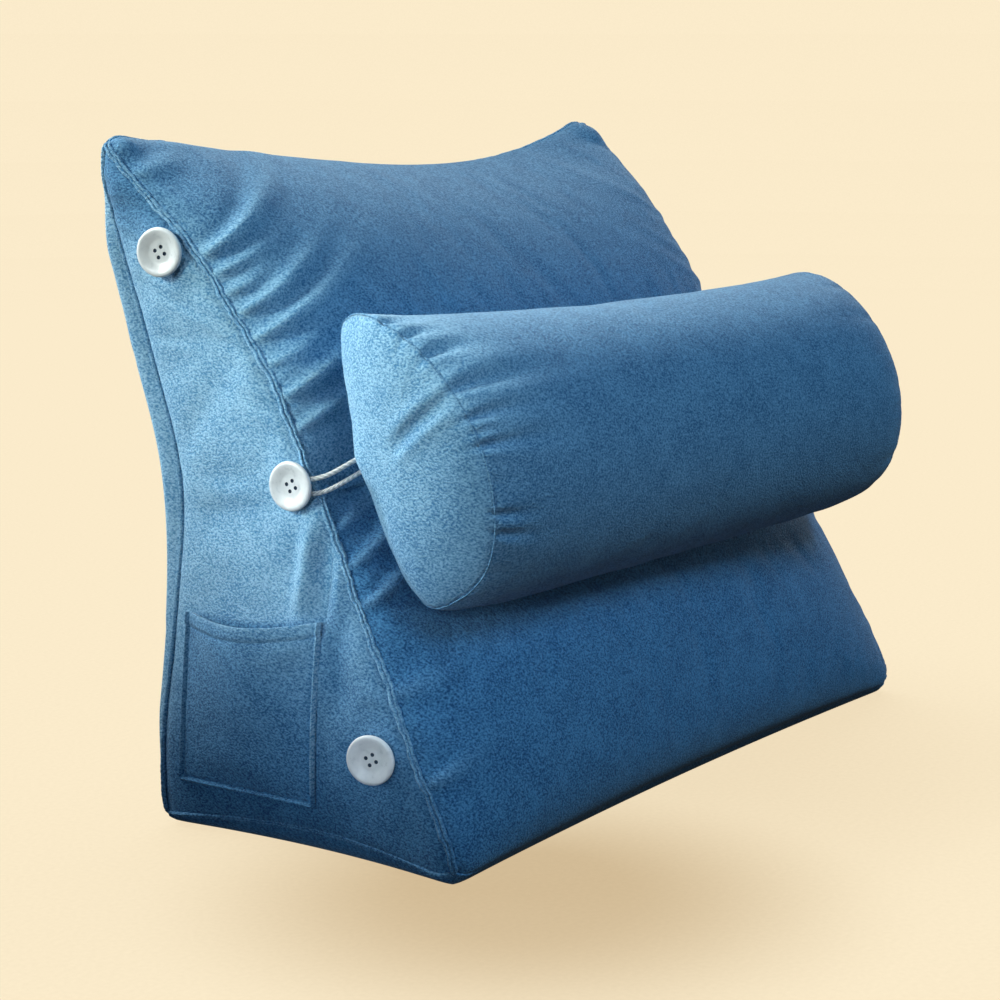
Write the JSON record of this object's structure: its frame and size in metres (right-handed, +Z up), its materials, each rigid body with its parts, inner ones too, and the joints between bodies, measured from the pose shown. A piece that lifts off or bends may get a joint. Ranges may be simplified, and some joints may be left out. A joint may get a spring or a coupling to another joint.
{
  "type": "triangular reading cushion",
  "caption": "Filled triangular reading cushion in short-pile plush, with a sloping front, a neck bolster buttoned on by elastic loops, and an open side pocket.",
  "frame": {"origin": "on the floor, under the middle of the whole", "axes": "+X along the width, -Y out of the sloping front, +Z up"},
  "size_m": [0.6456, 0.3657, 0.477],
  "materials": {
    "plush": "mid-blue short-pile plush",
    "button_plastic": "white moulded plastic",
    "elastic_cord": "white braided elastic"
  },
  "bodies": {
    "root": {"wedge_cushion": "plush", "bolster": "plush", "side_pocket": "plush", "button_left_top": "button_plastic", "button_left_mid": "button_plastic", "button_left_bottom": "button_plastic", "button_right_top": "button_plastic", "button_right_mid": "button_plastic", "button_right_bottom": "button_plastic", "elastic_loop_left": "elastic_cord", "elastic_loop_right": "elastic_cord"}
  },
  "joints": []
}
